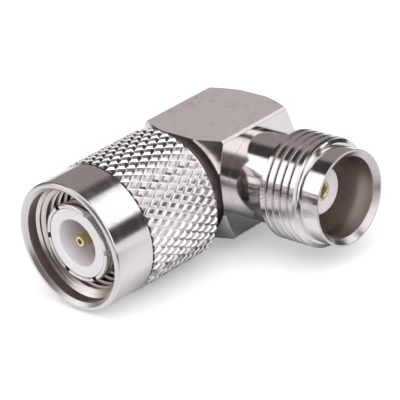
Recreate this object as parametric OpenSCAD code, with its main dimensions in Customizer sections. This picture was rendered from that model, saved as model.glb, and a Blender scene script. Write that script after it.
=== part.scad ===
// Right-angle coaxial adapter: a square elbow block with a knurled, captive
// coupling nut on its plug side and a threaded jack on its other side.
// The plug points along -Y, the jack along +X, and the part lies on z = 0.

/* [Elbow block] */
// Width of the square block across its flats
block_w = 10.7; // [10:0.1:13]
// Length of the block between its turned end faces
block_len = 11.4; // [11:0.1:15]
// Diameter of the turned end faces
end_d = 11.2; // [10.8:0.1:12.6]
// Slope of the turned end chamfers, measured from the end faces
end_slope = 30; // [15:1:40]
// Bevel along the block's four long edges
edge_bevel = 0.25; // [0.1:0.05:0.5]
// Metal left between the jack's seat and the plug's bore
seat_web = 0.3; // [0.2:0.05:0.5]

/* [Plug barrel and ferrule] */
// Diameter of the barrel that the coupling nut turns on
barrel_d = 10; // [9.6:0.1:10.4]
// Length of the barrel in front of the block
barrel_len = 5.1; // [4.6:0.1:7]
// Inner diameter of the plug's outer conductor
line_d = 7.26; // [6.9:0.02:7.5]
// Wall of the slotted ferrule
ferrule_wall = 0.32; // [0.25:0.01:0.4]
// Height of the contact bead round the ferrule's tip
bead_h = 0.1; // [0.05:0.01:0.15]
// Length of the contact bead
bead_len = 1.2; // [0.8:0.1:2]
// Length of the ferrule in front of the barrel
ferrule_len = 9.8; // [9:0.1:12]
// Depth of the ferrule's seat in the barrel
ferrule_seat = 1.8; // [1:0.1:2]
// Number of slots that part the ferrule into spring fingers
slot_count = 6; // [4:1:8]
// Width of a ferrule slot
slot_w = 0.55; // [0.3:0.05:0.7]
// Length of a ferrule slot
slot_len = 6.6; // [4:0.1:8]
// Thickness of the sealing gasket in front of the barrel
gasket_t = 1.5; // [1:0.1:2]
// Radial width of the sealing gasket
gasket_w = 1.02; // [0.8:0.02:1.2]

/* [Coupling nut] */
// Gap between the block and the back of the nut
nut_gap = 1.3; // [0.6:0.1:1.8]
// Overall length of the nut
nut_len = 14.65; // [14:0.05:17]
// Diameter over the knurl's crests
knurl_d = 13.7; // [13.5:0.1:15]
// Wall of the nut from its thread out to the knurl's crests
nut_wall = 1.25; // [1.1:0.01:1.9]
// Depth of the knurl's grooves
knurl_depth = 0.35; // [0.2:0.01:0.4]
// Length of the knurled band
knurl_len = 8.78; // [7:0.02:9.5]
// Number of knurl grooves of each hand
knurl_count = 42; // [36:2:52]
// Number of whole diamonds along the band
knurl_rows = 5; // [4:1:7]
// Flat left on top of each diamond, as a share of its width
knurl_land = 0.3; // [0.1:0.05:0.5]
// Length of the plain shoulder behind the knurl
shoulder_len = 1.06; // [0.6:0.02:1.6]
// Step from the knurl's crests down to the smooth front collar
collar_step = 0.15; // [0.1:0.01:0.3]
// Rounding of the collar's front edge
collar_round = 0.4; // [0.1:0.05:0.5]
// Length of the rear web that holds the nut on the barrel
web_len = 2.9; // [2.6:0.1:3.4]
// Depth of the plain counterbore at the mouth
mouth_depth = 1.4; // [1:0.1:2]
// Step from the thread out to the counterbore
mouth_step = 0.25; // [0.15:0.05:0.35]
// Length of the nut's internal thread
nut_thread_len = 5.8; // [4:0.1:7]

/* [Retaining ring] */
// Thickness of the split ring along the plug's axis
ring_t = 0.8; // [0.5:0.05:1]
// Radial width of the split ring
ring_w = 0.6; // [0.5:0.05:0.8]
// Reach of the ring past the barrel, into the nut
ring_catch = 0.38; // [0.25:0.01:0.45]
// Opening angle of the split
ring_split = 24; // [10:1:40]

/* [Jack shell] */
// Diameter of the smooth neck
neck_d = 9.2; // [9:0.1:9.6]
// Length of the smooth neck
neck_len = 4.5; // [3:0.05:6]
// Outside diameter of the coupling thread
thread_d = 11; // [10.8:0.05:11.2]
// Length of the threaded part, end chamfers included
thread_len = 4.8; // [4:0.1:8]
// Length of each thread end chamfer
thread_lead = 0.3; // [0.2:0.05:0.8]
// Diameter of the smooth pilot in front of the thread
pilot_d = 9.66; // [9.4:0.02:9.9]
// Length of the pilot
pilot_len = 2.23; // [1.6:0.01:3]
// Diameter of the jack's bore
jack_bore_d = 8.14; // [7.9:0.02:8.3]
// Depth of the jack's bore
jack_depth = 8.4; // [7.6:0.1:9]
// Inner diameter of the jack's outer conductor
jack_line_d = 6.4; // [6:0.1:6.8]
// Width of the lip left outside the mouth chamfer
lip_w = 0.2; // [0.1:0.05:0.3]
// Slope of the mouth chamfer, measured from the jack's axis
lip_slope = 50; // [30:5:60]

/* [Insulators and contacts] */
// Diameter of the insulator stub inside the jack
stub_d = 4.78; // [4.4:0.02:5.2]
// Recess of the stub behind the jack's lip
stub_recess = 3.48; // [2:0.02:4.5]
// Room round a mating stub in the plug's insulator
stub_room = 0.06; // [0.04:0.01:0.15]
// Depth of the plug insulator's bore
plug_depth = 5.4; // [4:0.1:7]
// Recess of the plug insulator behind the ferrule's tip
insulator_recess = 0.1; // [0.05:0.05:0.4]
// Diameter of the plug's centre pin
pin_d = 1.35; // [1.2:0.01:1.5]
// Recess of the pin's tip behind the plug insulator's face
pin_recess = 0.4; // [0.2:0.05:1]
// Length of the pin's tapered tip
tip_len = 0.55; // [0.3:0.05:0.9]
// Diameter of the flat at the pin's tip
tip_d = 0.8; // [0.5:0.05:1]
// Diameter of the pin's thicker rear shank
shank_d = 2.1; // [1.8:0.05:2.4]
// Outside diameter of the jack's socket contact
socket_d = 2; // [1.8:0.05:2.4]
// Depth of the hole in the socket contact
socket_depth = 4.6; // [3.5:0.1:5.5]
// Number of slots in the socket contact
socket_slots = 4; // [2:1:4]
// Width of a socket slot
socket_slot_w = 0.2; // [0.1:0.02:0.25]
// Diameter of the socket's tail where it crosses the plug's pin
tail_d = 0.86; // [0.7:0.02:1]

/* [Clearances] */
// Running clearance between the nut and the barrel, on the radius
run_clear = 0.05; // [0.03:0.01:0.1]
// Seating clearance between fixed pieces
seat_clear = 0.03; // [0.02:0.01:0.05]
// Clearance round the retaining ring in the nut's groove
ring_clear = 0.1; // [0.06:0.01:0.15]
// Clearance of a mating thread in the relief behind the nut's thread, on the radius
thread_clear = 0.1; // [0.05:0.01:0.2]
// Sliding clearance of a mating pin in the socket, on the radius
socket_clear = 0.02; // [0.01:0.01:0.05]

/* [Hidden] */
$fn = 96;
overcut = 1;

// Radii shared by neighbouring pieces
line_r = line_d / 2;
barrel_r = barrel_d / 2;
ferrule_r = line_r + ferrule_wall;
gasket_r = ferrule_r + seat_clear + gasket_w;
ring_outer_r = barrel_r + ring_catch;
ring_inner_r = ring_outer_r - ring_w;
groove_r = ring_inner_r - ring_catch - seat_clear;
knurl_r = knurl_d / 2;
nut_thread_r = knurl_r - nut_wall;
valley_r = knurl_r - knurl_depth;
core_under_knurl = 0.1;
core_r = valley_r - core_under_knurl;
collar_r = knurl_r - collar_step;
jack_line_r = jack_line_d / 2;
socket_hole_r = pin_d / 2 + socket_clear;

// Distances from the crossing of the two axes, along the plug
block_end = block_len / 2;
nut_back = block_end + nut_gap;
web_front = nut_back + web_len;
barrel_front = block_end + barrel_len;
ferrule_front = barrel_front + ferrule_len;
ferrule_back = barrel_front - ferrule_seat;
nut_front = nut_back + nut_len;
knurl_back = nut_back + shoulder_len;
knurl_relief = 0.12;
collar_back = knurl_back + knurl_len + knurl_relief;
thread_front = nut_front - mouth_depth;
thread_back = thread_front - nut_thread_len;
relief_r = nut_thread_r + thread_clear;
ring_back = nut_back + (web_len - ring_t) / 3;
plug_face = ferrule_front - insulator_recess;
pin_shoulder = plug_face - plug_depth;
pin_tip = plug_face - pin_recess;

// Distances from the crossing of the two axes, along the jack
block_face = block_w / 2;
thread_start = block_face + neck_len;
thread_end = thread_start + thread_len;
lead_step = 0.17;
lead_r = pilot_d / 2 + lead_step;
jack_lip = thread_end + pilot_len;
jack_floor = jack_lip - jack_depth;
stub_face = jack_lip - stub_recess;
spigot_end = line_r + seat_web;
spigot_step = 0.3;
spigot_r = neck_d / 2 - spigot_step;
collar_trap = 0.25;
trap_r = jack_line_r + collar_trap;
trap_len = 1;
boss_r = (socket_d / 2 + jack_line_r) / 2;
cross_hole_r = boss_r + seat_clear + 0.1;

// The pieces that meet where the axes cross
pin_end = shank_d / 2;
cavity_back = boss_r + 0.3;
boss_end = shank_d / 2 + 0.5;
plug_insulator_back = cross_hole_r + 0.3;
tail_reach = shank_d / 2 * 0.7;

// The part's place on the ground, centred under its box
ground_h = knurl_r;
centre_x = (jack_lip - knurl_r) / 2;
centre_y = (block_end - nut_front) / 2;

module placed() translate([-centre_x, -centre_y, ground_h]) children();
module along_plug() rotate([90, 0, 0]) children();
module along_jack() rotate([0, 90, 0]) children();

// A turned solid from an outline of [radius, distance] points
module turned(outline) rotate_extrude() polygon(outline);

// A round rod, or the cutter of a round hole, from one distance to another
module rod(r, from, to) translate([0, 0, from]) cylinder(r = r, h = to - from);

// A tube between two distances
module tube(r_out, r_in, from, to) {
    difference() {
        translate([0, 0, from]) cylinder(r = r_out, h = to - from);
        rod(r_in, from - overcut, to + overcut);
    }
}

// Slots cut from the front edge of a sleeve, evenly round its axis
module slots(count, w, front, len, reach) {
    for (i = [0 : count - 1])
        rotate(i * 360 / count)
            translate([0, -w / 2, front - len])
                cube([reach, w, len + overcut]);
}

// Square bar with bevelled edges whose ends are turned to shallow cones
module block() {
    half = block_w / 2;
    far_r = block_w;
    rise = (far_r - end_d / 2) * tan(end_slope);
    inner = half - edge_bevel;
    intersection() {
        translate([0, 0, -block_end])
            linear_extrude(block_len)
                polygon([
                    [half, -inner], [half, inner], [inner, half], [-inner, half],
                    [-half, inner], [-half, -inner], [-inner, -half], [inner, -half]
                ]);
        turned([
            [0, -block_end], [end_d / 2, -block_end], [far_r, -block_end + rise],
            [far_r, block_end - rise], [end_d / 2, block_end], [0, block_end]
        ]);
    }
}

module elbow_body() {
    color("silver")
        placed()
            difference() {
                along_plug() {
                    block();
                    rod(barrel_r, 0, barrel_front);
                }
                along_plug() {
                    rod(line_r, -cavity_back, barrel_front + overcut);
                    rod(ferrule_r + seat_clear, ferrule_back - seat_clear, barrel_front + overcut);
                    tube(
                        barrel_r + overcut, groove_r,
                        ring_back - seat_clear, ring_back + ring_t + seat_clear
                    );
                }
                along_jack() {
                    rod(cross_hole_r, 0, block_face);
                    rod(spigot_r + seat_clear, spigot_end - seat_clear, block_face + overcut);
                }
            }
}

// Sleeve with a rounded contact bead at its tip, slotted into fingers
module plug_ferrule() {
    bead_r = ferrule_r + bead_h;
    rounding = (ferrule_wall + bead_h) / 3;
    color("silver")
        placed()
            along_plug()
                difference() {
                    turned([
                        [line_r, ferrule_back], [ferrule_r, ferrule_back],
                        [ferrule_r, ferrule_front - bead_len],
                        [bead_r, ferrule_front - bead_len * 0.6],
                        [bead_r, ferrule_front - rounding],
                        for (a = [15 : 15 : 90])
                            [bead_r - rounding * (1 - cos(a)), ferrule_front - rounding * (1 - sin(a))],
                        [line_r, ferrule_front]
                    ]);
                    slots(slot_count, slot_w, ferrule_front, slot_len, bead_r + overcut);
                }
}

// Insulator that fills the ferrule, with an open bore round the pin
module plug_insulator() {
    color("whitesmoke")
        placed()
            along_plug()
                difference() {
                    rod(line_r - seat_clear, plug_insulator_back, plug_face);
                    rod(stub_d / 2 + stub_room, pin_shoulder, plug_face + overcut);
                    rod(shank_d / 2 + seat_clear, plug_insulator_back - overcut, pin_shoulder + overcut);
                }
}

// Centre pin with a tapered, dimpled tip and a shank cross-drilled for the tail
module plug_pin() {
    dimple_r = tip_d / 4;
    color("gold")
        placed()
            difference() {
                along_plug()
                    turned([
                        [0, -pin_end], [shank_d / 2, -pin_end], [shank_d / 2, pin_shoulder],
                        [pin_d / 2, pin_shoulder], [pin_d / 2, pin_tip - tip_len],
                        [tip_d / 2, pin_tip], [dimple_r, pin_tip], [0, pin_tip - dimple_r]
                    ]);
                along_jack()
                    rod(tail_d / 2 + seat_clear, -shank_d, shank_d);
            }
}

// Soft ring that a mating jack's lip presses on
module plug_gasket() {
    color("brown")
        placed()
            along_plug()
                tube(gasket_r, ferrule_r + seat_clear, barrel_front + seat_clear, barrel_front + gasket_t);
}

// One knurl point: columns run round the nut, rows along it
function knurl_point(column, row, r) =
    [
        r * cos(column * 180 / knurl_count),
        r * sin(column * 180 / knurl_count),
        row * knurl_len / knurl_rows / 2
    ];

// Band of flat-topped diamonds between two crossing sets of V grooves
module knurl_band(inner_r) {
    n = knurl_count;
    last = 2 * knurl_rows;
    valleys = [
        for (row = [0 : last], j = [0 : n - 1])
            knurl_point(2 * j + row % 2, row, valley_r)
    ];
    tops = [
        for (row = [0 : last], j = [0 : n - 1])
            let (column = 2 * j + (row + 1) % 2)
                each [
                    knurl_point(column - knurl_land, row, knurl_r),
                    knurl_point(column, max(0, row - knurl_land), knurl_r),
                    knurl_point(column + knurl_land, row, knurl_r),
                    knurl_point(column, min(last, row + knurl_land), knurl_r)
                ]
    ];
    inner = [for (row = [0, last], j = [0 : n - 1]) knurl_point(2 * j, row, inner_r)];
    function valley(row, j) = row * n + (j + n) % n;
    function top(row, j, side) = len(valleys) + 4 * (row * n + j) + side;
    function wall(end, j) = len(valleys) + len(tops) + end * n + j % n;
    flats = [
        for (row = [0 : last], j = [0 : n - 1])
            [top(row, j, 3), top(row, j, 2), top(row, j, 1), top(row, j, 0)]
    ];
    lower_sides = [
        for (row = [1 : last], j = [0 : n - 1])
            let (
                left = valley(row, j - row % 2),
                right = valley(row, j + 1 - row % 2),
                below = valley(row - 1, j)
            )
                each [
                    [top(row, j, 0), top(row, j, 1), below, left],
                    [top(row, j, 1), top(row, j, 2), right, below]
                ]
    ];
    upper_sides = [
        for (row = [0 : last - 1], j = [0 : n - 1])
            let (
                left = valley(row, j - row % 2),
                right = valley(row, j + 1 - row % 2),
                above = valley(row + 1, j)
            )
                each [
                    [top(row, j, 2), top(row, j, 3), above, right],
                    [top(row, j, 3), top(row, j, 0), left, above]
                ]
    ];
    ends = [
        for (j = [0 : n - 1])
            each [
                [
                    wall(0, j), valley(0, j), top(0, j, 0), top(0, j, 1), top(0, j, 2),
                    valley(0, j + 1), wall(0, j + 1)
                ],
                [
                    wall(1, j + 1), valley(last, j + 1), top(last, j, 2), top(last, j, 3), top(last, j, 0),
                    valley(last, j), wall(1, j)
                ]
            ]
    ];
    walls = [for (j = [0 : n - 1]) [wall(0, j), wall(0, j + 1), wall(1, j + 1), wall(1, j)]];
    polyhedron(
        points = concat(valleys, tops, inner),
        faces = concat(flats, lower_sides, upper_sides, ends, walls)
    );
}

// Coupling nut: rear web, ring groove, gasket room, thread and counterbore
module coupling_nut() {
    bore_r = barrel_r + run_clear;
    groove_out_r = ring_outer_r + ring_clear;
    groove_back = ring_back - ring_clear;
    groove_front = ring_back + ring_t + ring_clear;
    mouth_r = nut_thread_r + mouth_step;
    edge = 0.15;
    color("lightgray")
        placed()
            along_plug() {
                turned([
                    [bore_r, nut_back], [core_r - edge, nut_back], [core_r, nut_back + edge],
                    [core_r, collar_back], [collar_r, collar_back],
                    for (a = [0 : 15 : 90])
                        [collar_r - collar_round * (1 - cos(a)), nut_front - collar_round * (1 - sin(a))],
                    [mouth_r, nut_front], [mouth_r, thread_front],
                    [nut_thread_r, thread_front - mouth_step], [nut_thread_r, thread_back],
                    [relief_r, thread_back], [relief_r, web_front], [bore_r, web_front],
                    [bore_r, groove_front], [groove_out_r, groove_front],
                    [groove_out_r, groove_back], [bore_r, groove_back]
                ]);
                translate([0, 0, knurl_back]) knurl_band(core_r - core_under_knurl);
            }
}

// Split ring that keeps the nut on the barrel
module nut_retaining_ring() {
    color("goldenrod")
        placed()
            along_plug()
                translate([0, 0, ring_back])
                    rotate(ring_split / 2)
                        rotate_extrude(angle = 360 - ring_split)
                            translate([ring_inner_r, 0]) square([ring_w, ring_t]);
}

// Jack shell: spigot, neck, plain thread cylinder, pilot and open mouth
module jack_shell() {
    bore_r = jack_bore_d / 2;
    pilot_r = pilot_d / 2;
    mouth_r = pilot_r - lip_w;
    color("lightgray")
        placed()
            along_jack()
                turned([
                    [trap_r, spigot_end], [spigot_r, spigot_end], [spigot_r, block_face],
                    [neck_d / 2, block_face], [neck_d / 2, thread_start], [lead_r, thread_start],
                    [thread_d / 2, thread_start + thread_lead], [thread_d / 2, thread_end - thread_lead],
                    [lead_r, thread_end], [pilot_r, thread_end], [pilot_r, jack_lip], [mouth_r, jack_lip],
                    [bore_r, jack_lip - (mouth_r - bore_r) / tan(lip_slope)],
                    [bore_r, jack_floor], [jack_line_r, jack_floor],
                    [jack_line_r, spigot_end + trap_len], [trap_r, spigot_end + trap_len]
                ]);
}

// Insulator with a trapped collar and the stub that shows in the jack's mouth
module jack_insulator() {
    color("whitesmoke")
        placed()
            along_jack()
                difference() {
                    turned([
                        [0, boss_end], [boss_r, boss_end], [boss_r, spigot_end],
                        [trap_r - seat_clear, spigot_end],
                        [trap_r - seat_clear, spigot_end + trap_len - seat_clear],
                        [jack_line_r - seat_clear, spigot_end + trap_len - seat_clear],
                        [jack_line_r - seat_clear, jack_floor], [stub_d / 2, jack_floor],
                        [stub_d / 2, stub_face], [0, stub_face]
                    ]);
                    rod(socket_d / 2 + seat_clear, boss_end - overcut, stub_face + overcut);
                }
}

// Slotted socket contact whose tail passes through the plug's pin
module jack_socket() {
    front = stub_face - seat_clear;
    flare = socket_clear * 5;
    color("gold")
        placed()
            along_jack()
                difference() {
                    turned([
                        [0, -tail_reach], [tail_d / 2, -tail_reach], [tail_d / 2, boss_end],
                        [socket_d / 2, boss_end], [socket_d / 2, front], [socket_hole_r + flare, front],
                        [socket_hole_r, front - flare], [socket_hole_r, front - socket_depth],
                        [0, front - socket_depth]
                    ]);
                    slots(socket_slots, socket_slot_w, front, socket_depth * 0.7, socket_d);
                }
}

elbow_body();
plug_ferrule();
plug_insulator();
plug_pin();
plug_gasket();
coupling_nut();
nut_retaining_ring();
jack_shell();
jack_insulator();
jack_socket();
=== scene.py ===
# %% [markdown]
# # A right-angle coax adapter
# The object is a small nickel-plated adapter that turns a coax line through
# a right angle. A square elbow block carries a plug with a knurled coupling
# nut on one side and a threaded jack on the other. The solids come from the
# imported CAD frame. This lesson dresses them: rounded edges, a crisp knurl,
# real threads, slotted contacts and plated finishes.

import math

import bmesh
import bpy
from mathutils import Matrix, Vector


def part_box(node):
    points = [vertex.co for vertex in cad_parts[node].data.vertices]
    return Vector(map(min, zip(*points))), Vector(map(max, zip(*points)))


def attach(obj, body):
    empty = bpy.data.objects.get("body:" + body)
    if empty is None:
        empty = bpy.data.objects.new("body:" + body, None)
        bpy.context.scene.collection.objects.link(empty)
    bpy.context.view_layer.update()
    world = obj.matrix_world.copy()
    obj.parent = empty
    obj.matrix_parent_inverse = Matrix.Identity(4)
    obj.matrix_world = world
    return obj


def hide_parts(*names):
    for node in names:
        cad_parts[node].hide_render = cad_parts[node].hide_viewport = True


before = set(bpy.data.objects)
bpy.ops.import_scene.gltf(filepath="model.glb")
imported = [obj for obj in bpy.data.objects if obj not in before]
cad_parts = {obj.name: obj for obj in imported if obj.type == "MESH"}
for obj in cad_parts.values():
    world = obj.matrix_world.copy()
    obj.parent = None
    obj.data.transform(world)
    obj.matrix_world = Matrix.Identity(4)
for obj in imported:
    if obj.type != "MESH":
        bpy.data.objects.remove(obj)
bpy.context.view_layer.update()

# %% [markdown]
# ## Two axes
# Nearly every piece is turned, so it is easiest to model it upright about
# its own Z axis, in millimetres, and to lay it on the plug's or the jack's
# axis at the end. The two axes cross in the elbow. Their places come from
# the frame, so the dressed pieces can't drift from the solids.

# %% Find the axes
MM = 0.001


def middle(node):
    low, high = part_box(node)
    return (low + high) / 2


elbow = Vector((middle("plug_pin").x, middle("jack_socket").y, middle("plug_pin").z))
quarter_turn = math.radians(90)
to_millimetres = Matrix.Scale(MM, 4)
PLUG = Matrix.Translation(elbow) @ Matrix.Rotation(quarter_turn, 4, "X") @ to_millimetres
JACK = Matrix.Translation(elbow) @ Matrix.Rotation(quarter_turn, 4, "Y") @ to_millimetres


def plug_span(node):
    """Where a node starts and ends along the plug, from the elbow, in mm."""
    low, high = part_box(node)
    return (elbow.y - high.y) / MM, (elbow.y - low.y) / MM


def jack_span(node):
    """Where a node starts and ends along the jack, from the elbow, in mm."""
    low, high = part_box(node)
    return (low.x - elbow.x) / MM, (high.x - elbow.x) / MM


def half_height(node):
    low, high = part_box(node)
    return (high.z - low.z) / 2 / MM


print("elbow at", [round(c / MM, 3) for c in elbow], "mm")

# %% [markdown]
# ## Short ways to build node trees
# Node trees made in code get long, so two small helpers keep them readable:
# one makes a tree with named inputs, and one adds nodes and joins them.
# Both serve Geometry Nodes and shader groups.

# %% Node helpers
class Wiring:
    """Adds nodes to a tree and joins them."""

    def __init__(self, tree):
        self.tree = tree

    def feed(self, socket, value):
        if isinstance(value, bpy.types.NodeSocket):
            self.tree.links.new(value, socket)
        else:
            socket.default_value = value

    def node(self, kind, sockets=None, **settings):
        made = self.tree.nodes.new(kind)
        for setting, value in settings.items():
            setattr(made, setting, value)
        for socket, value in (sockets or {}).items():
            self.feed(made.inputs[socket], value)
        return made

    def math(self, operation, *values):
        return self.node("ShaderNodeMath", dict(enumerate(values)), operation=operation).outputs[0]

    def plus(self, a, b):
        return self.math("ADD", a, b)

    def minus(self, a, b):
        return self.math("SUBTRACT", a, b)

    def times(self, a, b):
        return self.math("MULTIPLY", a, b)

    def over(self, a, b):
        return self.math("DIVIDE", a, b)

    def vector(self, operation, *values, output="Vector"):
        made = self.node("ShaderNodeVectorMath", dict(enumerate(values)), operation=operation)
        return made.outputs[output]

    def combine(self, x, y, z):
        return self.node("ShaderNodeCombineXYZ", {"X": x, "Y": y, "Z": z}).outputs[0]

    def split(self, vector):
        return self.node("ShaderNodeSeparateXYZ", {"Vector": vector}).outputs

    def ramp(self, value, start, end, low=0.0, high=1.0, smooth=False):
        sockets = {"Value": value, "From Min": start, "From Max": end, "To Min": low, "To Max": high}
        kind = "SMOOTHSTEP" if smooth else "LINEAR"
        return self.node("ShaderNodeMapRange", sockets, interpolation_type=kind).outputs["Result"]

    def mix(self, kind, factor, low, high):
        sockets = {"Factor": factor, "A": low, "B": high}
        return self.node("ShaderNodeMix", sockets, data_type=kind).outputs["Result"]


def new_tree(name, kind, inputs, outputs):
    """A node tree with its wiring, inputs and outputs. A socket that is only named is a float."""
    tree = bpy.data.node_groups.new(name, kind)
    for in_out, sockets in (("INPUT", inputs), ("OUTPUT", outputs)):
        for socket in sockets:
            label, socket_type = (socket, FLOAT) if isinstance(socket, str) else socket
            tree.interface.new_socket(label, in_out=in_out, socket_type=socket_type)
    wires = Wiring(tree)
    return tree, wires, wires.node("NodeGroupInput").outputs, wires.node("NodeGroupOutput").inputs


FLOAT, INT, VECTOR = "NodeSocketFloat", "NodeSocketInt", "NodeSocketVector"
GEOMETRY, OBJECT, MATERIAL = "NodeSocketGeometry", "NodeSocketObject", "NodeSocketMaterial"
print("helpers ready")

# %% [markdown]
# ## Turning marks
# A turned surface is never a perfect mirror. The tool leaves fine rings
# round the axis that plating only softens, and they draw the reflections
# out along the piece. The rings depend on two numbers, the distance along
# the axis and the distance from it, so one group can work them out from the
# Object coordinates and serve every turned piece on both axes.

# %% Turning marks group
turning_marks, wires, given, made = new_tree(
    "turning marks",
    "ShaderNodeTree",
    [("Centre", VECTOR), ("Axis", VECTOR), "Rings per mm"],
    ["Rings", "Bands", "Radius in mm"],
)
place = wires.node("ShaderNodeTexCoord").outputs["Object"]
arm = wires.vector("SUBTRACT", place, given["Centre"])
along = wires.vector("DOT_PRODUCT", arm, given["Axis"], output="Value")
foot_scale = wires.node("ShaderNodeVectorMath", {0: given["Axis"], "Scale": along}, operation="SCALE")
spoke = wires.vector("SUBTRACT", arm, foot_scale.outputs["Vector"])
radius = wires.vector("LENGTH", spoke, output="Value")
wires.feed(made["Radius in mm"], wires.over(radius, MM))
FACE_LEAN = 1.37  # keeps the rings going across faces and cones
travel = wires.math("MULTIPLY_ADD", radius, FACE_LEAN, along)
ring_count = wires.times(wires.over(travel, MM), given["Rings per mm"])
ring_noise = {"W": ring_count, "Scale": 1.0, "Detail": 3.0, "Roughness": 0.6}
wires.feed(made["Rings"], wires.node("ShaderNodeTexNoise", ring_noise, noise_dimensions="1D").outputs[0])
band_noise = {"W": ring_count, "Scale": 0.08, "Detail": 2.0}
wires.feed(made["Bands"], wires.node("ShaderNodeTexNoise", band_noise, noise_dimensions="1D").outputs[0])
print("group", turning_marks.name)

# %% [markdown]
# ## Handling and pits
# Small plated parts pick up faint smudges and hairline scratches in a
# drawer, and the flats of the block show the tiny pits of the metal below
# the plating. Both are noise at different scales: broad noise for smudges,
# stretched noise for scratches and a cut-off noise for pits.

# %% Handling group
handling, wires, given, made = new_tree(
    "handling marks",
    "ShaderNodeTree",
    ["Smudges per mm", "Pits per mm", "Pit cover"],
    ["Smudge", "Scratch", "Pit", "Grain"],
)
place = wires.vector("SCALE", wires.node("ShaderNodeTexCoord").outputs["Object"])
place.node.inputs["Scale"].default_value = 1 / MM
smudge_noise = {"Vector": place, "Scale": given["Smudges per mm"], "Detail": 4.0, "Roughness": 0.55}
wires.feed(made["Smudge"], wires.node("ShaderNodeTexNoise", smudge_noise).outputs[0])
STRETCH, HAIR_STARTS, HAIR_FULL = (0.25, 6.0, 6.0), 0.62, 0.7
stretched = wires.node("ShaderNodeMapping", {"Vector": place, "Rotation": (0.3, 0.5, 0.9), "Scale": STRETCH})
hair_noise = {"Vector": stretched.outputs[0], "Scale": 1.0, "Detail": 5.0, "Roughness": 0.7}
hairs = wires.node("ShaderNodeTexNoise", hair_noise).outputs[0]
wires.feed(made["Scratch"], wires.ramp(hairs, HAIR_STARTS, HAIR_FULL))
pit_noise = {"Vector": place, "Scale": given["Pits per mm"], "Detail": 2.0, "Roughness": 0.5}
pits = wires.node("ShaderNodeTexNoise", pit_noise).outputs[0]
PIT_EDGE, GRAINS_PER_MM = 0.06, 9.0
deepest = wires.plus(given["Pit cover"], PIT_EDGE)
wires.feed(made["Pit"], wires.ramp(pits, deepest, given["Pit cover"]))
grain_noise = {"Vector": place, "Scale": GRAINS_PER_MM, "Detail": 6.0, "Roughness": 0.7}
wires.feed(made["Grain"], wires.node("ShaderNodeTexNoise", grain_noise).outputs[0])
print("group", handling.name)

# %% [markdown]
# ## Nickel plate
# Bright nickel is a warm, slightly pink white metal. Its colour hardly
# varies, so nearly all of what the eye sees is reflection, shaped by tiny
# changes of roughness and slope. Each material below is one Principled
# shader whose colour, roughness and normal come from the two groups. The
# bores, the nut's thread and the recess behind the nut are rougher than the
# outside, and their colour is painted darker and browner as painted shade,
# darkest behind the nut.

# %% Material helpers
NOISE_LOW, NOISE_HIGH = 0.3, 0.7  # nearly all of a noise lies between these


def start_material(name, metallic=0.0):
    """A material with its wiring and its Principled shader."""
    material = bpy.data.materials.new(name)
    material.use_nodes = True
    shader = material.node_tree.nodes["Principled BSDF"]
    shader.inputs["Metallic"].default_value = metallic
    return material, Wiring(material.node_tree), shader


def place_group(wires, group, **values):
    """The outputs of a group placed with these inputs."""
    made = wires.node("ShaderNodeGroup", node_tree=group)
    for label, value in values.items():
        wires.feed(made.inputs[label.replace("_", " ")], value)
    return made.outputs


def tint(wires, mask, plain, marked):
    """Two colours mixed by a mask. The plain one may come from a node."""
    below = plain if isinstance(plain, bpy.types.NodeSocket) else (*plain, 1.0)
    return wires.mix("RGBA", mask, below, (*marked, 1.0))


def spread(wires, noise, low, high):
    """A noise stretched over a range of values."""
    return wires.ramp(noise, NOISE_LOW, NOISE_HIGH, low, high)


def coat(wires, shader, colour, roughness, height, depth_mm):
    """Gives a shader its colour, its roughness and its fine relief."""
    bump = wires.node("ShaderNodeBump", {"Height": height, "Distance": depth_mm * MM, "Strength": 1.0})
    wires.feed(shader.inputs["Base Color"], colour)
    wires.feed(shader.inputs["Roughness"], roughness)
    wires.feed(shader.inputs["Normal"], bump.outputs["Normal"])


print("material helpers ready")

# %% Turned nickel
PLUG_AXIS, JACK_AXIS = (0.0, -1.0, 0.0), (1.0, 0.0, 0.0)
TOOL_RINGS = 9.0
SMOOTHEST, ROUGHEST, SCRATCH_ROUGHNESS, SCRATCH_DEPTH = 0.75, 1.2, 0.06, -0.4


def turned_nickel(name, axis, colours, roughness, ring_depth_mm=0.001):
    """Nickel with tool rings round an axis, in a clean and a smudged colour."""
    material, wires, shader = start_material(name, metallic=1.0)
    marks = place_group(wires, turning_marks, Centre=elbow, Axis=axis, Rings_per_mm=TOOL_RINGS)
    wear = place_group(wires, handling, Smudges_per_mm=0.35)
    bands = spread(wires, marks["Bands"], roughness * SMOOTHEST, roughness * ROUGHEST)
    rough = wires.math("MULTIPLY_ADD", wear["Scratch"], SCRATCH_ROUGHNESS, bands)
    height = wires.math("MULTIPLY_ADD", wear["Scratch"], SCRATCH_DEPTH, marks["Rings"])
    coat(wires, shader, tint(wires, wear["Smudge"], *colours), rough, height, ring_depth_mm)
    return material


BRIGHT = (0.84, 0.805, 0.81), (0.76, 0.72, 0.72)
# Painted shade: the bored, tapped and behind-the-nut colours are darker, browner copies of BRIGHT.
BORED_AND_SHADED = (0.64, 0.56, 0.525), (0.54, 0.465, 0.43)
LIP = (0.68, 0.64, 0.64), (0.60, 0.56, 0.56)
TAPPED_AND_SHADED = (0.80, 0.72, 0.69), (0.72, 0.64, 0.61)
RECESS_SHADE = (0.33, 0.28, 0.26), (0.24, 0.20, 0.18)
nickel_plug = turned_nickel("nickel turned on the plug axis", PLUG_AXIS, BRIGHT, 0.16, 0.0008)
nickel_jack = turned_nickel("nickel turned on the jack axis", JACK_AXIS, BRIGHT, 0.12, 0.0008)
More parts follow.
